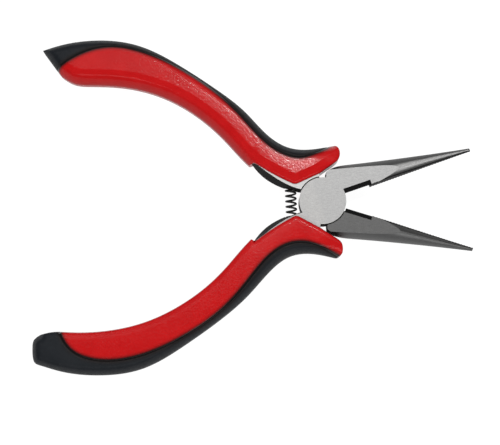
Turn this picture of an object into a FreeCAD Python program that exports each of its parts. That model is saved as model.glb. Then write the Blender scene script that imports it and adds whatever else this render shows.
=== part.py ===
"""Mini long-nose pliers with side cutters, a return spring and two-colour handle grips.

Two forged levers are turned over onto each other and held by one flush rivet. They differ only in
the height of the cutting edges, which meet near the front face, and in the clearance of the rivet's
hole, since the rivet turns in the rear lever. Each lever is drawn in its own closed frame: the
rivet's axis is the Z axis, the jaw runs along +X on the +Y side of the mating plane, and the handle
runs along -X on the -Y side. The front lever is then swung open by half the opening angle, and the
rear lever is turned over about the X axis and swung open the other way. Z = 0 is the back face of
the joint, and all lengths are millimetres.
"""
import FreeCAD, Part
import math
import os
import Sketcher

V = FreeCAD.Vector
OUT_DIR = "parts"

# Driving dimensions: (alias, value, meaning)
DIMENSIONS = [
    ("joint_thickness", 8.0, "thickness of the joint and of the jaws at their root"),
    ("half_opening", 18.0, "angle of each lever from closed, at rest, in degrees"),
    ("disc_radius", 6.3, "lap disc of each lever"),
    ("recess_radius", 6.6, "recess that the other lever's lap disc turns in"),
    ("lap_gap", 0.04, "gap between the two lap faces"),
    ("jaw_gap", 0.04, "gap between the closed jaws"),
    ("jaw_length", 42.4, "rivet axis to jaw tip"),
    ("cutter_end", 13.9, "rivet axis to the outer end of the cutters"),
    ("cutter_bevel", 1.2, "width on each face of the cutters' bevels"),
    ("cutter_height", 6.8, "cutting edges, above the joint's back face"),
    ("serration_pitch", 0.8, "pitch of the gripping teeth"),
    ("serration_depth", 0.1, "depth of the gripping teeth"),
    ("shank_radius", 1.9, "rivet shank"),
    ("head_radius", 2.8, "rivet's countersunk heads"),
    ("head_depth", 1.1, "depth of the countersinks"),
    ("running_gap", 0.05, "radial clearance of the rivet in the rear lever"),
    ("core_thickness", 5.0, "steel inside the grips"),
    ("grip_thickness", 11.0, "grips, front to back"),
    ("grip_rounding", 1.7, "rounding of the grips' long edges"),
    ("seat_radius", 1.85, "spring seat holes"),
    ("seat_mouth_y", 3.4, "mouth of each spring seat from the mid-line, at rest"),
    ("seat_bottom_y", 6.45, "bottom of each spring seat from the mid-line, at rest"),
    ("spring_x", 8.3, "rivet axis to spring axis"),
    ("coil_radius", 1.36, "spring, to the wire's centre"),
    ("wire_radius", 0.25, "spring wire"),
    ("coil_pitch", 1.45, "spring, at rest"),
]

# Nose of the jaw: an elliptic cone that bulges outward from the mating plane.
# (distance from the rivet, width of the jaw, half-height of the cone, centre as a share of the width)
NOSE_SECTIONS = [(2.5, 9.0, 6.88, 0.3), (24.0, 4.35, 3.74, 0.41), (42.4, 0.9, 1.05, 0.45)]

# Shoulder of the jaw, from the lap disc outward, in the closed frame
SHOULDER = [(3.45, 7.0), (5.0, 7.45), (8.0, 7.55), (12.5, 6.95)]
SHOULDER_FOOT = (2.75, 5.2)

# Inner wall of the tang, from the lap disc to the grip: at mid-thickness and at the faces
TANG_WALL_MID = [(-5.9, -0.8), (-9.5, -0.48), (-13.0, -0.7), (-17.0, -1.75), (-20.6, -3.8), (-22.5, -5.4)]
TANG_WALL_FACE = [(-5.9, -1.3), (-9.5, -1.3), (-13.0, -1.95), (-17.0, -3.2), (-20.6, -4.6), (-22.5, -5.6)]
TANG_OUTER = [(-22.5, -10.0), (-16.0, -7.4), (-10.0, -7.3), (-5.6, -8.9)]
TANG_CORNER = (-3.1, -6.9)
TANG_ROOT = (-2.4, -5.2)

# Steel core inside the grip: inner and outer side, from the tang to its end
CORE_INNER = [(-21.5, -5.4), (-30.0, -9.7), (-36.0, -12.6), (-45.0, -15.5), (-56.0, -16.7), (-70.0, -14.7)]
CORE_OUTER = [(-70.0, -19.0), (-56.0, -21.4), (-45.0, -20.1), (-36.0, -17.2), (-30.0, -14.3), (-21.5, -9.6)]
CORE_END = (-71.6, -16.8)

# Outline of a grip. The two grips share the horn, the step and the inner side next to them.
HORN_TIP = (1.05, -13.9)
HORN_FRONT = [(0.35, -11.0), (-2.95, -6.75), (-8.75, -1.6)]
STEP_TOP = (-21.5, -3.4)
STEP_FOOT = (-20.9, -4.5)
GRIP_INNER = [STEP_TOP, (-24.0, -4.7), (-30.0, -8.2), (-36.0, -11.15), (-45.0, -13.95)]

GRIPS = {
    "lower": {
        "outer": [(-85.4, -17.2), (-81.0, -20.3), (-72.0, -24.5), (-60.5, -26.68), (-48.0, -24.58),
                  (-36.0, -21.0), (-27.0, -17.2), (-19.0, -12.65), (-13.0, -11.0), (-7.0, -12.25),
                  (-1.6, -15.35)],
        "inner": [(-55.0, -15.15), (-66.0, -14.0), (-75.0, -11.3), (-80.0, -9.6), (-83.2, -9.3)],
        "end": [[(-83.2, -9.3), (-85.2, -10.1), (-86.2, -12.0)], [(-86.2, -12.0), (-86.85, -14.3)],
                [(-86.85, -14.3), (-86.8, -15.9), (-85.4, -17.2)]],
        "split": [(-77.6, -8.0), (-77.7, -10.85), (-76.6, -15.4), (-72.4, -19.75), (-66.1, -22.4),
                  (-57.0, -23.4), (-47.9, -22.5), (-35.8, -19.25), (-26.8, -14.5), (-18.8, -9.65),
                  (-13.5, -8.15), (-8.7, -8.9), (-3.9, -12.35), (0.0, -16.6)],
    },
    "upper": {
        "outer": [(-84.6, -17.2), (-80.7, -19.9), (-72.0, -24.05), (-60.5, -26.2), (-48.0, -24.3),
                  (-36.0, -20.8), (-27.0, -17.25), (-19.0, -12.85), (-13.0, -11.45), (-7.0, -12.75),
                  (-1.6, -15.5)],
        "inner": [(-54.0, -14.8), (-63.0, -13.7), (-69.5, -11.95), (-73.8, -11.15), (-77.6, -12.0)],
        "end": [[(-77.6, -12.0), (-84.6, -17.2)]],
        "split": [(-79.7, -11.6), (-78.5, -13.8), (-75.5, -17.65), (-71.2, -21.2), (-66.1, -23.55),
                  (-58.0, -24.45), (-47.9, -23.35), (-35.8, -19.7), (-26.7, -15.0), (-18.8, -10.55),
                  (-12.9, -9.05), (-8.7, -9.65), (-5.6, -11.85), (-3.4, -16.1)],
    },
}

FAR = 60.0                 # well outside the tool, for the outer edges of cuts

doc = FreeCAD.newDocument("long_nose_pliers")
sheet = doc.addObject("Spreadsheet::Sheet", "sizes")
for row, (alias, value, meaning) in enumerate(DIMENSIONS, start=1):
    sheet.set(f"A{row}", meaning)
    sheet.set(f"B{row}", str(value))
    sheet.setAlias(f"B{row}", alias)
doc.recompute()


def size(alias):
    """The value of one driving dimension."""
    return float(sheet.get(alias))


MID = size("joint_thickness") / 2


# ---- Sketches and features -------------------------------------------------------------------

def origin_plane(body, role):
    """One of the body's own origin planes."""
    return next(feature for feature in body.Origin.OriginFeatures if feature.Role == role)


def new_sketch(body, name, geometry, role="XY_Plane", offset=None, turn=0.0):
    """A sketch on an origin plane, moved by offset and turned about its own upright axis."""
    sketch = body.newObject("Sketcher::SketchObject", f"{body.Label}_{name}")
    sketch.AttachmentSupport = [(origin_plane(body, role), "")]
    sketch.MapMode = "FlatFace"
    upright = FreeCAD.Rotation(V(0, 1, 0), turn)
    sketch.AttachmentOffset = FreeCAD.Placement(offset or V(0, 0, 0), upright)
    sketch.addGeometry(geometry, False)
    return sketch


def circle_sketch(body, name, alias, height=0.0):
    """A circle about the rivet's axis whose radius is bound to the sheet."""
    circle = Part.Circle(V(0, 0, 0), V(0, 0, 1), size(alias))
    sketch = new_sketch(body, name, [circle], offset=V(0, 0, height))
    sketch.addConstraint(Sketcher.Constraint("Coincident", 0, 3, -1, 1))
    index = sketch.addConstraint(Sketcher.Constraint("Radius", 0, size(alias)))
    sketch.setExpression(f"Constraints[{index}]", f"sizes.{alias}")
    return sketch


def extrude(body, kind, name, sketch, length, reverse=False):
    """A Pad or Pocket of a bound length; length is an expression in the sheet's aliases."""
    feature = body.newObject(f"PartDesign::{kind}", f"{body.Label}_{name}")
    feature.Profile = sketch
    feature.Reversed = reverse
    feature.setExpression("Length", length)
    doc.recompute()
    return feature


def cut(body, name, sketch):
    """Cut a sketch right through the body, both ways."""
    pocket = body.newObject("PartDesign::Pocket", f"{body.Label}_{name}")
    pocket.Profile = sketch
    pocket.Midplane = True
    pocket.Length = 2 * FAR
    doc.recompute()


def spline(points):
    """A smooth curve through the points."""
    curve = Part.BSplineCurve()
    curve.interpolate([V(x, y, 0) for x, y in points])
    return curve


def arc(points):
    """A circular arc through three points."""
    return Part.Arc(*[V(x, y, 0) for x, y in points])


def chain(points):
    """Straight segments from point to point."""
    vectors = [V(x, y, 0) for x, y in points]
    return [Part.LineSegment(a, b) for a, b in zip(vectors, vectors[1:])]


# ---- Levers ----------------------------------------------------------------------------------

def nose_cone(body):
    """The jaw's elliptic cone, before it is cut to the slab between the joint's two faces."""
    sections = []
    for index, (distance, width, half_height, share) in enumerate(NOSE_SECTIONS):
        centre = share * width
        top = V(centre, MID + half_height, 0)
        ellipse = Part.Ellipse(top, V(width, MID, 0), V(centre, MID, 0))
        offset = V(0, 0, distance)
        sections.append(new_sketch(body, f"nose_{index}", [ellipse], "YZ_Plane", offset))
    loft = body.newObject("PartDesign::AdditiveLoft", f"{body.Label}_nose_cone")
    loft.Profile = sections[0]
    loft.Sections = sections[1:]
    doc.recompute()


def cut_faces(body):
    """The flat front and back faces of the jaw."""
    thickness = size("joint_thickness")
    bands = []
    for low, high in ((thickness, FAR), (-FAR, 0.0)):
        bands += chain([(-FAR, low), (FAR, low), (FAR, high), (-FAR, high), (-FAR, low)])
    sketch = new_sketch(body, "face_bands", bands, "XZ_Plane")
    cut(body, "faces", sketch)


def cut_mating_face(body):
    """The mating plane, with transverse teeth from the cutters to the tip."""
    face = size("jaw_gap") / 2
    pitch = size("serration_pitch")
    root = face + size("serration_depth")
    start = size("cutter_end") + pitch / 2
    count = int((size("jaw_length") - start) / pitch)
    teeth = []
    for index in range(count):
        crest = start + index * pitch
        teeth += [(crest, face), (crest + pitch / 2, root)]
    teeth.append((start + count * pitch, face))
    outline = [(-FAR, face)] + teeth + [(FAR, face), (FAR, -FAR), (-FAR, -FAR), (-FAR, face)]
    cut(body, "mating_face", new_sketch(body, "mating_plane", chain(outline)))


def cut_shoulder(body):
    """The rounded shoulder where the jaw leaves the lap disc."""
    first = SHOULDER[0]
    last = SHOULDER[-1]
    rim = [last, (last[0], FAR), (-FAR, FAR), (-FAR, SHOULDER_FOOT[1]), SHOULDER_FOOT, first]
    cut(body, "shoulder", new_sketch(body, "shoulder_rim", [spline(SHOULDER)] + chain(rim)))


def cut_cutter(body, height):
    """The cutting edge at the given height, bevelled from both faces of the jaw."""
    face = size("jaw_gap") / 2
    thickness = size("joint_thickness")
    spread = face + size("cutter_bevel")
    notch = [(face, height), (spread, thickness), (spread, FAR), (-FAR, FAR), (-FAR, -FAR),
             (spread, -FAR), (spread, 0.0), (face, height)]
    sketch = new_sketch(body, "cutter_notch", chain(notch), "YZ_Plane")
    extrude(body, "Pocket", "cutter", sketch, "sizes.cutter_end", reverse=True)


def add_tang(body):
    """The full-thickness tang between the joint and the grip; its inner wall bulges."""
    sections = []
    for index, wall in enumerate((TANG_WALL_FACE, TANG_WALL_MID, TANG_WALL_FACE)):
        sides = [spline(wall)] + chain([wall[-1], TANG_OUTER[0]]) + [spline(TANG_OUTER)]
        sides += chain([TANG_OUTER[-1], TANG_CORNER, TANG_ROOT, wall[0]])
        sections.append(new_sketch(body, f"tang_{index}", sides, offset=V(0, 0, index * MID)))
    loft = body.newObject("PartDesign::AdditiveLoft", f"{body.Label}_tang")
    loft.Profile = sections[0]
    loft.Sections = sections[1:]
    loft.Ruled = True
    doc.recompute()


def core_outline():
    """The steel bar inside the grip."""
    end = arc([CORE_INNER[-1], CORE_END, CORE_OUTER[0]])
    return [spline(CORE_INNER), end, spline(CORE_OUTER)] + chain([CORE_OUTER[-1], CORE_INNER[0]])


def rivet_profile(gap, bottom, top):
    """Half-section of the rivet's hole: a shank and a countersink that opens at top."""
    shank = size("shank_radius") + gap
    head = size("head_radius") + gap
    depth = size("head_depth") + gap
    slope = (head - shank) / depth
    over = 1.0
    return chain([(0, bottom), (shank, bottom), (shank, top - depth), (head + slope * over, top + over),
                  (0, top + over), (0, bottom)])


def revolve(body, kind, name, geometry):
    """A Revolution or Groove about the Z axis."""
    section = new_sketch(body, f"{name}_section", geometry, "XZ_Plane")
    feature = body.newObject(f"PartDesign::{kind}", f"{body.Label}_{name}")
    feature.Profile = section
    feature.ReferenceAxis = (section, ["V_Axis"])
    feature.Angle = 360.0
    doc.recompute()
    return feature


def cut_spring_seat(body):
    """A blind hole in the tang's inner wall, square to the mid-line at rest."""
    half = math.radians(size("half_opening"))
    mouth = V(-size("spring_x"), -size("seat_mouth_y"), 0)
    above = 2.0
    start = mouth + V(0, above, 0)
    x = start.x * math.cos(half) + start.y * math.sin(half)
    y = start.y * math.cos(half) - start.x * math.sin(half)
    hole = Part.Circle(V(0, 0, 0), V(0, 0, 1), size("seat_radius"))
    sketch = new_sketch(body, "seat_mouth", [hole], "XZ_Plane", V(x, MID, -y), -size("half_opening"))
    depth = f"sizes.seat_bottom_y - sizes.seat_mouth_y + {above}"
    extrude(body, "Pocket", "spring_seat", sketch, depth, reverse=True)


def make_lever(label, cutter_height, rivet_gap):
    """One forged lever in its closed frame: jaw, lap disc, tang and the core inside the grip."""
    body = doc.addObject("PartDesign::Body", label)
    body.Label = label
    nose_cone(body)
    cut_faces(body)
    cut_mating_face(body)
    cut_shoulder(body)
    cut_cutter(body, cutter_height)
    add_tang(body)
    recess = circle_sketch(body, "recess_rim", "recess_radius")
    extrude(body, "Pocket", "recess", recess, "(sizes.joint_thickness + sizes.lap_gap) / 2", reverse=True)
    disc = circle_sketch(body, "disc_rim", "disc_radius", MID + size("lap_gap") / 2)
    extrude(body, "Pad", "lap_disc", disc, "(sizes.joint_thickness - sizes.lap_gap) / 2")
    revolve(body, "Groove", "rivet_hole", rivet_profile(rivet_gap, -1.0, size("joint_thickness")))
    cut_spring_seat(body)
    low = MID - size("core_thickness") / 2
    core = new_sketch(body, "core_outline", core_outline(), offset=V(0, 0, low))
    extrude(body, "Pad", "core", core, "sizes.core_thickness")
    return body


# ---- Rivet and spring ------------------------------------------------------------------------

def make_rivet():
    """The rivet: a shank with a flush countersunk head at each face."""
    body = doc.addObject("PartDesign::Body", "pivot_rivet")
    shank = size("shank_radius")
    head = size("head_radius")
    depth = size("head_depth")
    top = size("joint_thickness")
    revolve(body, "Revolution", "turned", chain([(0, 0), (head, 0), (shank, depth), (shank, top - depth),
                                                 (head, top), (0, top), (0, 0)]))
    return body


def make_spring():
    """The compression spring between the two seats, as it stands at rest."""
    body = doc.addObject("PartDesign::Body", "return_spring")
    inset = 0.1
    half_height = size("seat_bottom_y") - inset - size("wire_radius")
    wire = Part.Circle(V(size("coil_radius"), -half_height, 0), V(0, 0, 1), size("wire_radius"))
    offset = V(-size("spring_x"), 0, MID)
    sketch = new_sketch(body, "wire", [wire], offset=offset)
    helix = body.newObject("PartDesign::AdditiveHelix", "return_spring_coil")
    helix.Profile = sketch
    helix.ReferenceAxis = (sketch, ["V_Axis"])
    helix.Mode = "pitch-height-angle"
    helix.setExpression("Pitch", "sizes.coil_pitch")
    helix.setExpression("Height", f"2 * (sizes.seat_bottom_y - {inset} - sizes.wire_radius)")
    doc.recompute()
    return body


# ---- Grips -----------------------------------------------------------------------------------

def grip_outline(side):
    """The outline of a whole grip, seen from the front, in the lever's closed frame."""
    grip = GRIPS[side]
    edges = [spline(grip["outer"]), arc([grip["outer"][-1], HORN_TIP, HORN_FRONT[0]])]
    edges.append(spline(HORN_FRONT))
    edges += chain([HORN_FRONT[-1], STEP_TOP])
    edges.append(spline(GRIP_INNER + grip["inner"]))
    for points in grip["end"]:
        edges += [arc(points)] if len(points) == 3 else chain(points)
    return edges


def round_long_edges(body):
    """Round the edges of the front and back faces."""
    base = body.Tip
    low, high = base.Shape.BoundBox.ZMin, base.Shape.BoundBox.ZMax
    names = []
    for index, edge in enumerate(base.Shape.Edges, start=1):
        box = edge.BoundBox
        flat = box.ZLength < 1e-6
        if flat and min(abs(box.ZMin - low), abs(box.ZMin - high)) < 1e-6:
            names.append(f"Edge{index}")
    fillet = body.newObject("PartDesign::Fillet", f"{body.Label}_rounding")
    fillet.Base = (base, names)
    fillet.setExpression("Radius", "sizes.grip_rounding")
    doc.recompute()


def make_grip(label, side, outer_pad):
    """The red sleeve of a grip, or its black outer pad, both cut from one rounded form."""
    body = doc.addObject("PartDesign::Body", label)
    body.Label = label
    low = MID - size("grip_thickness") / 2
    outline = new_sketch(body, "outline", grip_outline(side), offset=V(0, 0, low))
    extrude(body, "Pad", "form", outline, "sizes.grip_thickness")
    round_long_edges(body)
    corner = HORN_FRONT[-1]
    step = [STEP_FOOT, STEP_TOP, (STEP_TOP[0], FAR), (corner[0], FAR), corner, STEP_FOOT]
    cut(body, "step", new_sketch(body, "step_line", chain(step)))
    split = GRIPS[side]["split"]
    start, end = split[0], split[-1]
    if outer_pad:
        rim = [end, (FAR, end[1]), (FAR, FAR), (start[0], FAR), start]
    else:
        rim = [end, (end[0], -FAR), (-2 * FAR, -FAR), (-2 * FAR, start[1]), start]
    cut(body, "split", new_sketch(body, "split_line", [spline(split)] + chain(rim)))
    if not outer_pad:
        sides = [spline(TANG_WALL_MID)] + chain([TANG_WALL_MID[-1], TANG_OUTER[0]])
        sides += [spline(TANG_OUTER)] + chain([TANG_OUTER[-1], TANG_CORNER, TANG_ROOT, TANG_WALL_MID[0]])
        tang = new_sketch(body, "tang_slot", sides)
        extrude(body, "Pocket", "tang_room", tang, "sizes.joint_thickness", reverse=True)
        low = MID - size("core_thickness") / 2
        core = new_sketch(body, "core_slot", core_outline(), offset=V(0, 0, low))
        extrude(body, "Pocket", "core_room", core, "sizes.core_thickness", reverse=True)
    return body


# ---- Assembly --------------------------------------------------------------------------------

def main():
    """Build every piece, place it at rest, check it and write its file."""
    half = size("half_opening")
    front = FreeCAD.Placement(V(0, 0, 0), FreeCAD.Rotation(V(0, 0, 1), half))
    turned_over = FreeCAD.Placement(V(0, 0, size("joint_thickness")), FreeCAD.Rotation(V(1, 0, 0), 180))
    rear = FreeCAD.Placement(V(0, 0, 0), FreeCAD.Rotation(V(0, 0, 1), -half)).multiply(turned_over)
    placed = [
        (make_lever("front_lever", size("cutter_height"), 0.0), front),
        (make_lever("rear_lever", 2 * MID - size("cutter_height"), size("running_gap")), rear),
        (make_rivet(), FreeCAD.Placement()),
        (make_spring(), FreeCAD.Placement()),
        (make_grip("lower_grip_sleeve", "lower", False), front),
        (make_grip("lower_grip_pad", "lower", True), front),
        (make_grip("upper_grip_sleeve", "upper", False), rear),
        (make_grip("upper_grip_pad", "upper", True), rear),
    ]
    for body, placement in placed:
        body.Placement = placement
    doc.recompute()

    failed = [item.Name for item in doc.Objects if {"Invalid", "Error"} & set(item.State)]
    if failed:
        raise RuntimeError(f"failed features: {failed}")
    os.makedirs(OUT_DIR, exist_ok=True)
    for body, _ in placed:
        shape = body.Shape
        if shape.isNull() or not shape.isValid() or len(shape.Solids) != 1:
            raise RuntimeError(f"{body.Label} is not one valid solid")
        shape.exportStep(os.path.join(OUT_DIR, f"{body.Label}.step"))
        print(f"{body.Label}: {shape.Volume:.1f} mm3")


main()
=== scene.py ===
"""Looks of the mini long-nose pliers: steel, spring wire and the two-colour moulded grips.

The levers and the rivet are the frame's own meshes with new materials. The grips and the spring
are built here. Each grip is drawn in its lever's closed frame, in millimetres, as in the CAD: the
pivot axis is the Z axis, the jaw runs along +X and the handle along -X on the -Y side. lever_turn()
then carries the points to the shared frame, in metres.
"""
import math
import bmesh
import bpy
import numpy as np
from mathutils import Matrix, Vector
from mathutils.geometry import delaunay_2d_cdt


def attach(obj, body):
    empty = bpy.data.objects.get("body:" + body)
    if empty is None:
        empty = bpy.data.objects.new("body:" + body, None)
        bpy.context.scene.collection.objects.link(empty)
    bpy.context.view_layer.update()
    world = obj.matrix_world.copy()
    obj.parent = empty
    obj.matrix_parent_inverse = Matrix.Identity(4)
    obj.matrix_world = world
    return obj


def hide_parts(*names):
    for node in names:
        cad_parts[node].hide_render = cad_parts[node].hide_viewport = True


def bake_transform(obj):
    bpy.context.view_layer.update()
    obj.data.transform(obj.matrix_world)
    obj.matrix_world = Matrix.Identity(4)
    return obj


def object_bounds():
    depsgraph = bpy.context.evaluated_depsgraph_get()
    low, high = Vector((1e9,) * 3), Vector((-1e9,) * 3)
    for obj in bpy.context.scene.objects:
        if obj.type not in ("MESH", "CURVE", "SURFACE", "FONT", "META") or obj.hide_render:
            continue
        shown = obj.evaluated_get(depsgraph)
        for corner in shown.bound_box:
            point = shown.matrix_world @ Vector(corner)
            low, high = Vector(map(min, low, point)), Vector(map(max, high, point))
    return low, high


MM = 0.001
HALF_OPENING = math.radians(18.0)   # each lever, from closed to rest
THICKNESS = 8.0                     # joint, front to back
MID = THICKNESS / 2

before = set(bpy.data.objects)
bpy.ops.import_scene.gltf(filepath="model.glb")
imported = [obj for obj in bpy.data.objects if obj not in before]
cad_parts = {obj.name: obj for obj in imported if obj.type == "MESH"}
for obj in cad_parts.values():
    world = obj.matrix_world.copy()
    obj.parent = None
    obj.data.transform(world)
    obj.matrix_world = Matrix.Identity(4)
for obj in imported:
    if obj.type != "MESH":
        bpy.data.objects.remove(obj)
CAD_BOX = [list(corner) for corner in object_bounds()]


def add_object(name, data):
    """A new object in the scene that holds data."""
    made = bpy.data.objects.new(name, data)
    bpy.context.scene.collection.objects.link(made)
    return made


# ---- Camera, floor and light -----------------------------------------------------------------

FLOOR_GAP = 0.00005        # metres between the grips and the floor
FLOOR_GLOW = 0.96
STUDIO_GLOW = 0.2
LIGHT_AIM = (-0.02, 0.0, 0.0)
# Place of each light, its width and depth in metres, and its power in watts.
LIGHTS = {
    "key_light": ((0.0, 0.42, 0.84), 0.45, 0.32, 1.1),
    "catch_light": ((0.05, 0.232, 0.9), 0.05, 0.04, 2.6),
    "softbox": ((0.0, 0.56, 0.78), 1.0, 0.6, 1.2),
    "top_box": ((0.0, 0.14, 0.95), 0.9, 0.2, 1.2),
    "fill_box": ((0.0, -0.62, 0.7), 0.9, 0.3, 3.8),
}


def add_camera():
    """A long lens almost straight above the front face, a little toward the lower handle."""
    elevation = math.radians(84.5)
    roll = math.radians(1.0)
    distance = 420.0
    target = Vector((-19.59, -5.16, MID))
    back = Vector((0, -math.cos(elevation), math.sin(elevation)))
    level = Vector((1, 0, 0))
    upright = back.cross(level)
    right = level * math.cos(roll) - upright * math.sin(roll)
    up = level * math.sin(roll) + upright * math.cos(roll)
    data = bpy.data.cameras.new("camera")
    data.sensor_width = 36.0
    data.lens = 112.0
    data.clip_start = 0.01
    camera = add_object("camera", data)
    turn = Matrix((right, up, back)).transposed().to_4x4()
    camera.matrix_world = Matrix.Translation((target + back * distance) * MM) @ turn
    bpy.context.scene.camera = camera


def add_area_light(name, place, width, depth, power):
    """A soft white rectangular light at place, facing the joint."""
    data = bpy.data.lights.new(name, "AREA")
    data.shape = "RECTANGLE"
    data.size = width
    data.size_y = depth
    data.energy = power
    light = add_object(name, data)
    direction = Vector(LIGHT_AIM) - Vector(place)
    light.rotation_euler = direction.to_track_quat("-Z", "Y").to_euler()
    light.location = place


def add_stage():
    """A plain pale floor under the grips, and a white studio around it."""
    scene = bpy.context.scene
    scene.view_settings.view_transform = "Standard"
    floor_height = CAD_BOX[0][2] - FLOOR_GAP
    bpy.ops.mesh.primitive_plane_add(size=6.0, location=(0, 0, floor_height))
    floor = bpy.context.object
    floor.name = "floor"
    material = bpy.data.materials.new("pale_floor")
    material.use_nodes = True
    shader = material.node_tree.nodes["Principled BSDF"]
    shader.inputs["Base Color"].default_value = (0.12, 0.12, 0.12, 1)
    shader.inputs["Roughness"].default_value = 0.9
    shader.inputs["Emission Color"].default_value = (1, 1, 1, 1)
    shader.inputs["Emission Strength"].default_value = FLOOR_GLOW
    floor.data.materials.append(material)

    world = bpy.data.worlds.new("studio")
    world.use_nodes = True
    background = world.node_tree.nodes["Background"]
    background.inputs["Color"].default_value = (1, 1, 1, 1)
    background.inputs["Strength"].default_value = STUDIO_GLOW
    scene.world = world
    for name, (place, width, depth, power) in LIGHTS.items():
        add_area_light(name, place, width, depth, power)


# ---- Node materials --------------------------------------------------------------------------

JAW_START = (-0.0015, -0.0005)          # metres along a lever, where the jaw's finish fades in
FLANK_START = (0.006, 0.008)            # the same for the satin outer flank
CUTTER_END = (0.0135, 0.0145)           # the same for the end of the cutters
CUTTER_WIDTH = 0.0016                   # metres from the mating plane to the flank, beside them
LAND_WIDTH = 0.0003                     # and beyond them
BLACKENED = 0.003                       # reflectance of the blackened walls
WALL_PAINTED_SHADE = 0.5                        # painted shade: tint of a steep moulded side wall, as a share of the deep tone
JOINT_LINE_AND_SHADE = (0.01, 0.008, 0.008, 1)    # dark colour at the joint of the two plastics: a dark joint, and painted shade in the groove


class Nodes:
    """A small helper that adds nodes to one material and joins them."""

    def __init__(self, name):
        self.material = bpy.data.materials.new(name)
        self.material.use_nodes = True
        self.tree = self.material.node_tree
        self.shader = self.tree.nodes["Principled BSDF"]
        texture = self.tree.nodes.new("ShaderNodeTexCoord")
        self.coordinate = texture.outputs["Object"]
        self.normal = texture.outputs["Normal"]

    def add(self, kind, values=None, **links):
        """A node with settings in values and its inputs set or linked by name."""
        node = self.tree.nodes.new(f"ShaderNode{kind}")
        for key, value in (values or {}).items():
            setattr(node, key, value)
        for key, value in links.items():
            self.feed(node.inputs[key], value)
        return node

    def feed(self, socket, value):
        """Link an output to the socket, or set the socket's value."""
        if isinstance(value, bpy.types.NodeSocket):
            self.tree.links.new(value, socket)
        else:
            socket.default_value = value

    def noise(self, scale, detail, stretch=None):
        """Noise in object space, optionally stretched along the axes."""
        place = self.coordinate
        if stretch:
            place = self.add("Mapping", Vector=place, Scale=stretch).outputs[0]
        return self.add("TexNoise", Vector=place, Scale=scale, Detail=detail).outputs["Fac"]

    def ramp(self, value, low, high, to_low=0.0, to_high=1.0):
        """Map value smoothly from low..high to to_low..to_high, clamped."""
        node = self.add("MapRange", {"interpolation_type": "SMOOTHSTEP"}, Value=value)
        for index, number in enumerate((low, high, to_low, to_high), start=1):
            self.feed(node.inputs[index], number)
        return node.outputs[0]

    def parts(self, vector):
        """The X, Y and Z of a vector."""
        return self.add("SeparateXYZ", Vector=vector).outputs

    def mix(self, factor, first, second, blend="MIX"):
        """Mix two colours."""
        node = self.add("Mix", {"data_type": "RGBA", "blend_type": blend})
        self.feed(node.inputs[0], factor)
        self.feed(node.inputs[6], first)
        self.feed(node.inputs[7], second)
        return node.outputs[2]

    def dimmed(self, colour, share):
        """The colour multiplied by share."""
        level = self.add("CombineColor", Red=share, Green=share, Blue=share).outputs[0]
        return self.mix(1.0, colour, level, "MULTIPLY")

    def maths(self, operation, first, second=0.0):
        """One arithmetic step."""
        node = self.add("Math", {"operation": operation})
        self.feed(node.inputs[0], first)
        self.feed(node.inputs[1], second)
        return node.outputs[0]

    def bump(self, height, strength, distance):
        """Feed a height into the shader's normal."""
        node = self.add("Bump", Height=height)
        node.inputs["Strength"].default_value = strength
        node.inputs["Distance"].default_value = distance
        self.feed(self.shader.inputs["Normal"], node.outputs[0])


def grey(level, warmth=0.0):
    """A neutral colour, slightly warm where warmth is positive."""
    return (level * (1 + warmth), level, level * (1 - 1.5 * warmth), 1)


def steel(name, side, face, jaw_face, flank, inner_painted_light, outer_painted_light):
    """Forged steel: ground faces, satin outer flanks on the jaw, and blackened walls elsewhere.

    The masks use the slope of the surface, and its place in the lever's closed frame, in metres.
    side is 1 for the front lever and -1 for the turned-over rear one. face, jaw_face and flank are
    reflectances. Ground steel that leans toward the other lever has its colour multiplied by the next
    to last argument, and where it leans away from it, by the last: painted highlight and painted shade
    for how the light falls on each side of the rounded jaw.
    """
    n = Nodes(name)
    closed_turn = (0, 0, -side * HALF_OPENING)
    place = n.add("Mapping", Vector=n.coordinate, Rotation=closed_turn).outputs[0]
    along, across, _ = n.parts(place)
    across = n.maths("MULTIPLY", across, side)
    normal = n.add("Mapping", Vector=n.normal, Rotation=closed_turn).outputs[0]
    _, facing, upright = n.parts(normal)
    slope = n.maths("ABSOLUTE", upright)
    inward = n.maths("MULTIPLY", facing, -side)

    grain = n.noise(5200.0, 3.0)
    strokes = n.noise(900.0, 4.0, (1.0, 7.0, 1.0))
    speck = n.ramp(grain, 0.3, 0.7, 0.82, 1.14)
    streak = n.ramp(strokes, 0.3, 0.7, 0.9, 1.08)
    on_jaw = n.ramp(along, *JAW_START)
    ground = n.mix(on_jaw, grey(face, 0.01), grey(jaw_face, 0.005))
    ground = n.dimmed(ground, n.maths("MULTIPLY", speck, streak))
    # Painted highlight and painted shade: ground steel that leans toward the other lever, or away from
    # it, is made lighter or darker for how the light falls on it.
    toward = n.ramp(inward, 0.03, 0.2, 1.0, inner_painted_light)
    away = n.ramp(inward, -0.2, -0.03, outer_painted_light, 1.0)
    ground = n.dimmed(ground, n.maths("MULTIPLY", toward, away))

    flank_edge = n.ramp(along, *CUTTER_END, CUTTER_WIDTH, LAND_WIDTH)
    beyond = n.maths("SUBTRACT", across, flank_edge)
    on_flank = n.maths("MULTIPLY", n.ramp(beyond, 0.0, 0.0002), n.ramp(along, *FLANK_START))
    sloped = n.mix(on_flank, grey(BLACKENED), grey(flank))
    is_ground = n.ramp(slope, 0.8, 0.98)
    is_bare = n.maths("MAXIMUM", is_ground, on_flank)
    satin = n.ramp(grain, 0.25, 0.75, 0.52, 0.64)
    n.feed(n.shader.inputs["Base Color"], n.mix(is_ground, sloped, ground))
    n.feed(n.shader.inputs["Metallic"], is_bare)
    n.feed(n.shader.inputs["Roughness"], n.ramp(is_bare, 0.0, 1.0, 0.8, satin))
    n.shader.inputs["Specular IOR Level"].default_value = 0.2
    n.bump(n.maths("ADD", grain, n.maths("MULTIPLY", strokes, 0.7)), 0.25, 0.00004)
    return n.material


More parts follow.
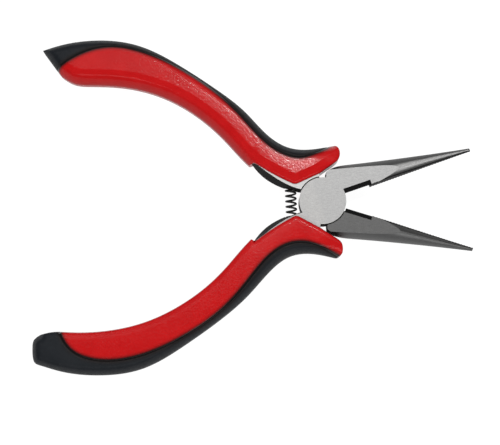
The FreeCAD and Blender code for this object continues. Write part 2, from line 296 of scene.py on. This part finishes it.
def moulded(name, colour, deep, roughness, gloss, grain_height):
    """Moulded plastic or enamel, with a fine grain, slight mottling and painted shade on steep side
    walls.

    The mesh's joint line attribute is 1 at the joint of the two plastics and fades away from it. It
    darkens the tint there: partly a dark joint, partly painted shade in the groove between the two
    plastics.
    """
    n = Nodes(name)
    mottle = n.ramp(n.noise(260.0, 3.0), 0.3, 0.7)
    fine = n.noise(1900.0, 2.0)
    line = n.add("Attribute", {"attribute_name": "joint_line_and_shade"}).outputs["Fac"]
    tint = n.mix(mottle, colour, deep)
    # Painted shade: the steeper the surface, the more its tint turns to a dark copy of the deep tone.
    _, _, upright = n.parts(n.normal)
    wall = n.ramp(n.maths("ABSOLUTE", upright), 0.1, 0.6, 0.7, 0.0)
    tint = n.mix(wall, tint, tuple(WALL_PAINTED_SHADE * level for level in deep[:3]) + (1,))
    # The dark joint line, partly painted shade in the groove, is laid over the tint.
    n.feed(n.shader.inputs["Base Color"], n.mix(n.ramp(line, 0.15, 0.75), tint, JOINT_LINE_AND_SHADE))
    n.feed(n.shader.inputs["Roughness"], n.ramp(fine, 0.3, 0.7, roughness - 0.06, roughness + 0.08))
    n.shader.inputs["IOR"].default_value = 1.48
    n.shader.inputs["Specular IOR Level"].default_value = gloss
    n.bump(fine, 0.5, grain_height)
    return n.material


# ---- Curves ----------------------------------------------------------------------------------

CURVE_STEP = 0.15          # millimetres between the samples of a curve
CHUNK = 2000               # points measured at a time, to save memory


def smooth(points):
    """A natural cubic spline through the points, sampled about every CURVE_STEP."""
    knots = np.asarray(points, float)
    gaps = np.linalg.norm(np.diff(knots, axis=0), axis=1)
    place = np.concatenate([[0], np.cumsum(gaps)])
    count = len(knots)
    system = np.eye(count)
    right = np.zeros((count, 2))
    for i in range(1, count - 1):
        system[i, i - 1:i + 2] = gaps[i - 1], 2 * (gaps[i - 1] + gaps[i]), gaps[i]
        right[i] = 6 * ((knots[i + 1] - knots[i]) / gaps[i] - (knots[i] - knots[i - 1]) / gaps[i - 1])
    bend = np.linalg.solve(system, right)
    at = np.linspace(0, place[-1], max(2, int(place[-1] / CURVE_STEP) + 1))
    k = np.clip(np.searchsorted(place, at, side="right") - 1, 0, count - 2)
    a = ((place[k + 1] - at) / gaps[k])[:, None]
    b = ((at - place[k]) / gaps[k])[:, None]
    curve = a * knots[k] + b * knots[k + 1]
    return curve + ((a ** 3 - a) * bend[k] + (b ** 3 - b) * bend[k + 1]) * (gaps[k] ** 2)[:, None] / 6


def straight(points):
    """A polyline through the points, sampled about every CURVE_STEP."""
    spans = []
    for start, end in zip(points, points[1:]):
        start, end = np.asarray(start, float), np.asarray(end, float)
        count = max(1, int(np.linalg.norm(end - start) / CURVE_STEP))
        spans.append(start + (end - start) * np.linspace(0, 1, count, endpoint=False)[:, None])
    return np.vstack(spans + [np.asarray(points[-1], float)])


def joined(*curves):
    """Curves end to end, without doubled points."""
    return np.vstack([curves[0]] + [curve[1:] for curve in curves[1:]])


def lengths(curve):
    """Distance along the curve at each of its points."""
    return np.concatenate([[0], np.cumsum(np.linalg.norm(np.diff(curve, axis=0), axis=1))])


def resampled(curve, step):
    """The same curve with evenly spaced points."""
    own = lengths(curve)
    places = np.linspace(0, own[-1], max(2, int(own[-1] / step) + 1))
    return np.stack([np.interp(places, own, curve[:, axis]) for axis in (0, 1)], axis=1)


def softened(loop, rounds):
    """A closed loop with its corners eased by repeated averaging of neighbours."""
    for _ in range(rounds):
        loop = (np.roll(loop, 1, axis=0) + 2 * loop + np.roll(loop, -1, axis=0)) / 4
    return loop


def nearest(curve, point):
    """Index of the curve's point nearest to point."""
    return int(np.argmin(np.linalg.norm(curve - np.asarray(point), axis=1)))


def distance_to(curve, points):
    """Distance from each point to the polyline."""
    start, span = curve[:-1], np.diff(curve, axis=0)
    size = (span ** 2).sum(1) + 1e-12
    result = np.empty(len(points))
    for first in range(0, len(points), CHUNK):
        some = points[first:first + CHUNK, None, :]
        share = np.clip(((some - start) * span).sum(2) / size, 0, 1)
        foot = start + span * share[..., None]
        result[first:first + CHUNK] = np.sqrt(((some - foot) ** 2).sum(2).min(1))
    return result


# ---- Grips -----------------------------------------------------------------------------------

# All lengths here are millimetres. The outline runs round the grip as five edges. "plate" lies along
# the tang, from the foot of the step to the corner that points at the spring. "front" goes on from
# there round the horn to its tip. "outer" is the back of the grip, and its butt, whose points are
# "end". "inner" is the side that faces the other handle, and "step" the short drop from it to the
# tang. "split" is the joint of the two plastics, from the inner edge or the butt to the horn.
STEP_FOOT = (-20.9, -4.5)
STEP_TOP = (-21.5, -3.4)
INNER = [STEP_TOP, (-24.0, -4.7), (-30.0, -8.2), (-36.0, -11.15), (-45.0, -13.95)]

# A profile is the width and fall of the bevel beside an edge, the width and fall of the rounded side
# at the edge itself, and how round that side is: 1 is straight and 2 is a quarter round.
OUTER_PROFILE = (1.6, 1.0, 2.9, 3.0, 2)
STEP_PROFILE = (0.4, 0.2, 0.4, 0.4, 2)
LOWER_FRONT_PROFILE = (1.0, 0.2, 0.6, 0.9, 2)
UPPER_FRONT_PROFILE = (2.5, 0.65, 0.6, 0.7, 2)

LOWER = {
    "profiles": {"inner": (1.5, 0.4, 0.45, 3.0, 2), "front": LOWER_FRONT_PROFILE,
                 "plate": LOWER_FRONT_PROFILE, "outer": OUTER_PROFILE, "step": STEP_PROFILE},
    "plate_middle": (-14.5, -2.6),
    "corner": (-8.05, -1.25),
    "horn": [(-2.95, -6.75), (-1.45, -8.75), (0.3, -10.9), (1.05, -12.3), (0.95, -13.7), (0.0, -15.3)],
    "outer": [(-85.4, -17.2), (-81.0, -20.3), (-72.0, -24.5), (-60.5, -26.68), (-48.0, -24.58),
              (-36.0, -21.0), (-27.0, -17.3), (-19.2, -13.0), (-13.0, -11.1), (-7.0, -12.4),
              (-1.6, -15.6)],
    "inner": [(-55.0, -15.15), (-66.0, -14.0), (-75.0, -11.3), (-80.0, -9.6), (-83.2, -9.3)],
    "end": [(-85.4, -17.2), (-86.8, -15.9), (-86.85, -14.3), (-86.2, -12.0), (-85.2, -10.1),
            (-83.2, -9.3)],
    "split": [(-77.7, -10.5), (-77.5, -12.4), (-76.4, -15.8), (-72.4, -19.75), (-66.1, -22.4),
              (-57.0, -23.4), (-47.9, -22.5), (-35.8, -19.25), (-26.8, -14.5), (-18.8, -9.65),
              (-13.5, -8.15), (-8.7, -8.9), (-3.9, -12.35), (-0.9, -15.6)],
}
UPPER = {
    "profiles": {"inner": (3.7, 0.85, 2.1, 3.3, 1.3), "front": UPPER_FRONT_PROFILE,
                 "plate": UPPER_FRONT_PROFILE, "outer": OUTER_PROFILE, "step": STEP_PROFILE},
    "plate_middle": (-14.5, -2.9),
    "corner": (-8.45, -1.85),
    "horn": [(-2.95, -6.75), (-1.5, -8.7), (0.1, -10.7), (0.85, -12.2), (0.7, -13.8), (-0.35, -15.2)],
    "outer": [(-84.6, -17.2), (-80.7, -19.9), (-72.0, -24.05), (-60.5, -26.2), (-48.0, -24.3),
              (-36.0, -20.8), (-27.0, -17.25), (-19.0, -12.85), (-13.0, -11.45), (-7.0, -12.75),
              (-1.6, -15.5)],
    "inner": [(-54.0, -14.8), (-63.0, -13.7), (-69.5, -11.95), (-73.8, -11.15), (-77.6, -12.0)],
    "end": [(-84.6, -17.2), (-77.6, -12.0)],
    "split": [(-79.1, -13.1), (-78.2, -14.4), (-75.5, -17.65), (-71.2, -21.2), (-66.1, -23.55),
              (-58.0, -24.45), (-47.9, -23.35), (-35.8, -19.7), (-26.7, -15.0), (-18.8, -10.55),
              (-12.9, -9.05), (-8.7, -9.65), (-6.0, -11.5), (-4.6, -12.7), (-3.0, -14.4)],
}

HALF_THICK = 5.45          # grip, from its mid-plane to its highest point
CROWN = 0.1                # fall of the face from its middle to its rounded edge
CROWN_REACH = 5.0
CORNER_REACH = 1.1         # rounding of the corner that points at the spring
DROOP = 1.3                # fall of the face at the horn's tip
DROOP_REACH = 7.0
TILT = 0.06                # slope of the face near the horn, down toward the pad
TILT_REACH = 20.0
EDGE_MERGE = 5.0           # power in the sum that merges the falls of two edges at a corner
SLEEVE_LIP = (0.5, 0.14)   # width and depth of the sleeve's rounded lip beside the pad
PAD_LIP = (0.7, 0.35)      # the same for the pad's edge
SEAM_HALF = 0.16           # half-width of the mould's parting line round the side walls
SEAM_DEPTH = 0.07
SHADE_REACH = 0.9          # how far the dark joint line and its painted shade in the groove fade from the joint
SHARP_GRIP = math.radians(42)

POINT_STEP = 0.35          # spacing of the mesh's points along the outline
SOFTEN_ROUNDS = 2          # easing of the outline's corners
# Distances from the outline to the rows of points inside it, closest where the face is most curved.
EDGE_ROWS = (0.06, 0.16, 0.32, 0.55, 0.85, 1.15, 1.4, 2.3, 2.5, 2.7, 3.5, 3.7, 3.9)
ROW_SHARE = 0.985          # a row's point stays if it is this share of the row's distance away
FILL_STEP = 0.5            # spacing of the even fill
FILL_CLEARANCE = 0.28      # from the fill to the rows
INSIDE_TRIANGLES = 1       # output kind of the triangulation
MERGE_DISTANCE = 1e-7
# Rows of the side wall: share of the edge's height, distance above the mid-plane, and sunk depth.
WALL_ROWS = ((0.5, 0.0, 0.0), (0.0, SEAM_HALF, 0.0), (0.0, 0.0, SEAM_DEPTH), (0.0, -SEAM_HALF, 0.0),
             (-0.5, 0.0, 0.0))


def edges_of(form):
    """The grip's outline as named runs, in order round the outline."""
    corner = Vector(form["corner"])
    before = corner + (Vector(STEP_FOOT) - corner).normalized() * CORNER_REACH
    after = corner + (Vector(form["horn"][0]) - corner).normalized() * CORNER_REACH
    shares = np.linspace(0, 1, 9)
    bend = [before * (1 - t) ** 2 + corner * 2 * t * (1 - t) + after * t ** 2 for t in shares]
    return {
        "plate": smooth([STEP_FOOT, form["plate_middle"], before]),
        "front": joined(straight(bend), straight([after, form["horn"][0]]),
                        smooth(form["horn"] + [form["outer"][-1]])),
        "outer": np.vstack([smooth(form["outer"])[::-1], smooth(form["end"])]),
        "inner": smooth(INNER + form["inner"])[::-1],
        "step": straight([STEP_TOP, STEP_FOOT]),
    }


def rounding(share, power=2):
    """How far an edge has dropped, from 1 at its foot to 0 where it meets the face."""
    return 1 - (1 - (1 - np.clip(share, 0, 1)) ** power) ** (1 / power)


def half_height(points, edges, profiles, split, lip):
    """Half the grip's thickness at each point: a crowned face, rounded edges, a lip at the split.

    The outer edge starts at the horn's tip.
    """
    away = {name: distance_to(curve, points) for name, curve in edges.items()}
    nearest_edge = np.min(list(away.values()), axis=0)
    total = np.zeros(len(points))
    for name, (width, fall, side_width, side_fall, power) in profiles.items():
        bevel = fall * np.clip(1 - away[name] / width, 0, 1)
        total += (bevel + side_fall * rounding(away[name] / side_width, power)) ** EDGE_MERGE
    crown = CROWN * np.clip(1 - nearest_edge / CROWN_REACH, 0, 1) ** 2
    from_tip = np.linalg.norm(points - edges["outer"][0], axis=1)
    crown += DROOP * np.clip(1 - from_tip / DROOP_REACH, 0, 1) ** 2
    from_front = np.minimum(away["front"], away["plate"])
    crown += TILT * from_front * np.clip(1 - (from_tip / TILT_REACH) ** 2, 0, 1)
    lip_width, lip_depth = lip
    sunk = lip_depth * rounding(distance_to(split, points) / lip_width)
    return HALF_THICK - crown - total ** (1 / EDGE_MERGE) - sunk


def normals_of(loop):
    """Unit normals of a closed anticlockwise loop, pointing outwards."""
    along = np.roll(loop, -1, axis=0) - np.roll(loop, 1, axis=0)
    along /= np.linalg.norm(along, axis=1)[:, None]
    return np.stack([along[:, 1], -along[:, 0]], axis=1)


def is_inside(closed, points):
    """Which points lie inside the closed polyline."""
    inside = np.zeros(len(points), bool)
    for (x0, y0), (x1, y1) in zip(closed[:-1], closed[1:]):
        if y0 != y1:
            spans = (points[:, 1] < y0) != (points[:, 1] < y1)
            inside ^= spans & (points[:, 0] < x0 + (points[:, 1] - y0) * (x1 - x0) / (y1 - y0))
    return inside


def inside_points(loop):
    """Points inside the loop: rows that follow its edge, then an even fill."""
    normals = normals_of(loop)
    closed = np.vstack([loop, loop[:1]])
    found = []
    for row in EDGE_ROWS:
        points = loop - normals * row
        found.append(points[distance_to(closed, points) > row * ROW_SHARE])
    low, high = loop.min(0), loop.max(0)
    rise = FILL_STEP * math.sqrt(3) / 2
    for index, y in enumerate(np.arange(low[1], high[1], rise)):
        x = np.arange(low[0] + (index % 2) * FILL_STEP / 2, high[0], FILL_STEP)
        points = np.stack([x, np.full(len(x), y)], axis=1)
        points = points[is_inside(closed, points)]
        away = distance_to(closed, points)[:, None]
        found.append(points[np.abs(away - EDGE_ROWS).min(1) > FILL_CLEARANCE])
    return np.vstack(found)


def anticlockwise(loop):
    """The loop, turned round if it runs clockwise."""
    following = np.roll(loop, -1, axis=0)
    area = (loop[:, 0] * following[:, 1] - following[:, 0] * loop[:, 1]).sum()
    return loop if area >= 0 else loop[::-1]


def finish_mesh(mesh, sharp_angle):
    """Point the faces outwards, and shade them smooth but for edges sharper than sharp_angle."""
    work = bmesh.new()
    work.from_mesh(mesh)
    bmesh.ops.recalc_face_normals(work, faces=work.faces[:])
    work.to_mesh(mesh)
    work.free()
    mesh.shade_smooth()
    mesh.set_sharp_from_angle(angle=sharp_angle)


def grip_mesh(name, loop, edges, profiles, split, lip, turn):
    """A closed mesh over the loop: face, back and side wall, placed by turn."""
    loop = anticlockwise(loop)
    flat = np.vstack([loop, inside_points(loop)])
    ring = list(range(len(loop)))
    flat = [Vector(point) for point in flat]
    made = delaunay_2d_cdt(flat, [], [ring], INSIDE_TRIANGLES, MERGE_DISTANCE)
    points = np.array([tuple(point) for point in made[0]])
    triangles = [tuple(face) for face in made[2]]
    place = {source: index for index, sources in enumerate(made[3]) for source in sources}
    ring = [place[index] for index in ring]
    height = half_height(points, edges, profiles, split, lip)
    count = len(points)
    verts = [(x, y, z) for (x, y), z in zip(points, height)]
    verts += [(x, y, -z) for (x, y), z in zip(points, height)]
    faces = triangles + [tuple(count + index for index in reversed(face)) for face in triangles]

    rows = [ring]
    normals = normals_of(points[ring])
    for share, level, sunk in WALL_ROWS:
        start = len(verts)
        for index, normal in zip(ring, normals):
            x, y = points[index] - normal * sunk
            verts.append((x, y, share * height[index] + level))
        rows.append(list(range(start, start + len(ring))))
    rows.append([count + index for index in ring])
    for upper, lower in zip(rows, rows[1:]):
        for i in range(len(ring)):
            j = (i + 1) % len(ring)
            faces.append((upper[i], upper[j], lower[j], lower[i]))

    mesh = bpy.data.meshes.new(name)
    mesh.from_pydata(verts, [], faces)
    mesh.transform(turn)
    # Closeness to the joint of the two plastics: it marks the dark joint line and the painted shade in
    # the groove beside it.
    closeness = np.exp(-distance_to(split, points) / SHADE_REACH)
    wall = np.tile(closeness[ring], len(WALL_ROWS))
    joint_line_and_shade = mesh.attributes.new("joint_line_and_shade", "FLOAT", "POINT")
    joint_line_and_shade.data.foreach_set("value", np.concatenate([closeness, closeness, wall]).astype(np.float32))
    finish_mesh(mesh, SHARP_GRIP)
    return add_object(name, mesh)


def make_grip(position, form, body, turn, materials):
    """Both plastics of one grip: the red sleeve and the black pad along its back.

    The ends of the split are moved onto the outline, which it then cuts in two.
    """
    edges = edges_of(form)
    loop = joined(*edges.values())
    loop = softened(resampled(loop, POINT_STEP)[:-1], SOFTEN_ROUNDS)
    split = resampled(smooth(form["split"]), POINT_STEP)
    first, last = nearest(loop, split[0]), nearest(loop, split[-1])
    split = np.vstack([loop[first], split[1:-1], loop[last]])
    loop = np.roll(loop, -last, axis=0)
    first = (first - last) % len(loop)
    parts = {"pad": np.vstack([loop[:first], split[:-1]]),
             "sleeve": np.vstack([loop[first:], split[::-1][:-1]])}
    for part, ring in parts.items():
        name = f"{position}_grip_{part}"
        material, slot, lip = materials[part]
        grip = grip_mesh(f"moulded_{name}", ring, edges, form["profiles"], split, lip, turn)
        grip.data.materials.append(material)
        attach(grip, body)
        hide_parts(name)


# ---- Spring ----------------------------------------------------------------------------------

SPRING_X = -8.4            # axis of the spring, which runs along Y at rest
SPRING_HALF = 6.3          # half its length
COIL_RADIUS = 1.31         # to the middle of the wire
WIRE_RADIUS = 0.28
COIL_TURNS = 8.34
COIL_START = 0.07          # place of the wire's first end round the coil, in turns
COIL_LEAN = 0.15           # how far each end of the coil stands off SPRING_X
STEPS_PER_TURN = 40
WIRE_SIDES = 12
SHARP_WIRE = math.radians(50)


def make_spring(material):
    """A compression spring between the two tangs, coiled from round wire."""
    steps = int(COIL_TURNS * STEPS_PER_TURN)
    rise = SPRING_HALF - WIRE_RADIUS
    verts = []
    for i in range(steps + 1):
        share = i / steps
        angle = (share * COIL_TURNS + COIL_START) * 2 * math.pi
        y = share * 2 * rise - rise
        outward = Vector((math.cos(angle), 0, math.sin(angle)))
        middle = Vector((SPRING_X - COIL_LEAN * y / SPRING_HALF, y, MID)) + outward * COIL_RADIUS
        for j in range(WIRE_SIDES):
            around = j / WIRE_SIDES * 2 * math.pi
            offset = outward * math.cos(around) + Vector((0, math.sin(around), 0))
            verts.append((middle + offset * WIRE_RADIUS) * MM)
    faces = []
    for i in range(steps):
        near, far = i * WIRE_SIDES, (i + 1) * WIRE_SIDES
        for j in range(WIRE_SIDES):
            k = (j + 1) % WIRE_SIDES
            faces.append((near + j, near + k, far + k, far + j))
    faces.append(tuple(range(WIRE_SIDES))[::-1])
    faces.append(tuple(steps * WIRE_SIDES + j for j in range(WIRE_SIDES)))
    mesh = bpy.data.meshes.new("coil_spring")
    mesh.from_pydata(verts, [], faces)
    finish_mesh(mesh, SHARP_WIRE)
    mesh.materials.append(material)
    spring = add_object("coil_spring", mesh)
    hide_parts("return_spring")
    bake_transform(spring)


# ---- Everything ------------------------------------------------------------------------------

def lever_turn(angle, turned_over):
    """From a lever's closed frame, about its mid-plane in mm, to the shared frame in metres."""
    turn = Matrix.Rotation(angle, 4, "Z")
    if turned_over:
        turn = turn @ Matrix.Rotation(math.pi, 4, "X")
    return Matrix.Translation((0, 0, MID * MM)) @ turn @ Matrix.Scale(MM, 4)


add_camera()
add_stage()
# In each call the last two numbers paint highlight and shade on the ground steel by which way it leans.
front = steel("ground_steel_front_painted_light", 1, face=0.36, jaw_face=0.345, flank=0.11,
              inner_painted_light=1.6, outer_painted_light=1.0)
# The rear lever is the same steel as the front, but its jaw face is painted far darker: painted shade
# for the dark surroundings that jaw reflects.
rear = steel("ground_steel_rear_painted_light", -1, face=0.45, jaw_face=0.108, flank=0.12,
             inner_painted_light=0.5, outer_painted_light=1.5)
for node, material in (("front_lever", front), ("pivot_rivet", front), ("rear_lever", rear)):
    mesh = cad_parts[node].data
    mesh.materials.clear()
    mesh.materials.append(material)
red = moulded("red_plastic", (0.51, 0.009, 0.010, 1), (0.475, 0.007, 0.008, 1),
              roughness=0.15, gloss=0.09, grain_height=0.00007)
black = moulded("black_rubber", (0.010, 0.012, 0.015, 1), (0.013, 0.015, 0.018, 1),
                roughness=0.5, gloss=0.1, grain_height=0.00003)
wire = moulded("spring_wire", (0.01, 0.01, 0.01, 1), (0.015, 0.015, 0.015, 1),
               roughness=0.4, gloss=0.3, grain_height=0.00001)
# Material, slot and lip of each half of a grip.
grip_materials = {"sleeve": (red, "red_grip", SLEEVE_LIP), "pad": (black, "black_grip", PAD_LIP)}
make_grip("lower", LOWER, "front_half", lever_turn(HALF_OPENING, False), grip_materials)
make_grip("upper", UPPER, "rear_half", lever_turn(-HALF_OPENING, True), grip_materials)
make_spring(wire)
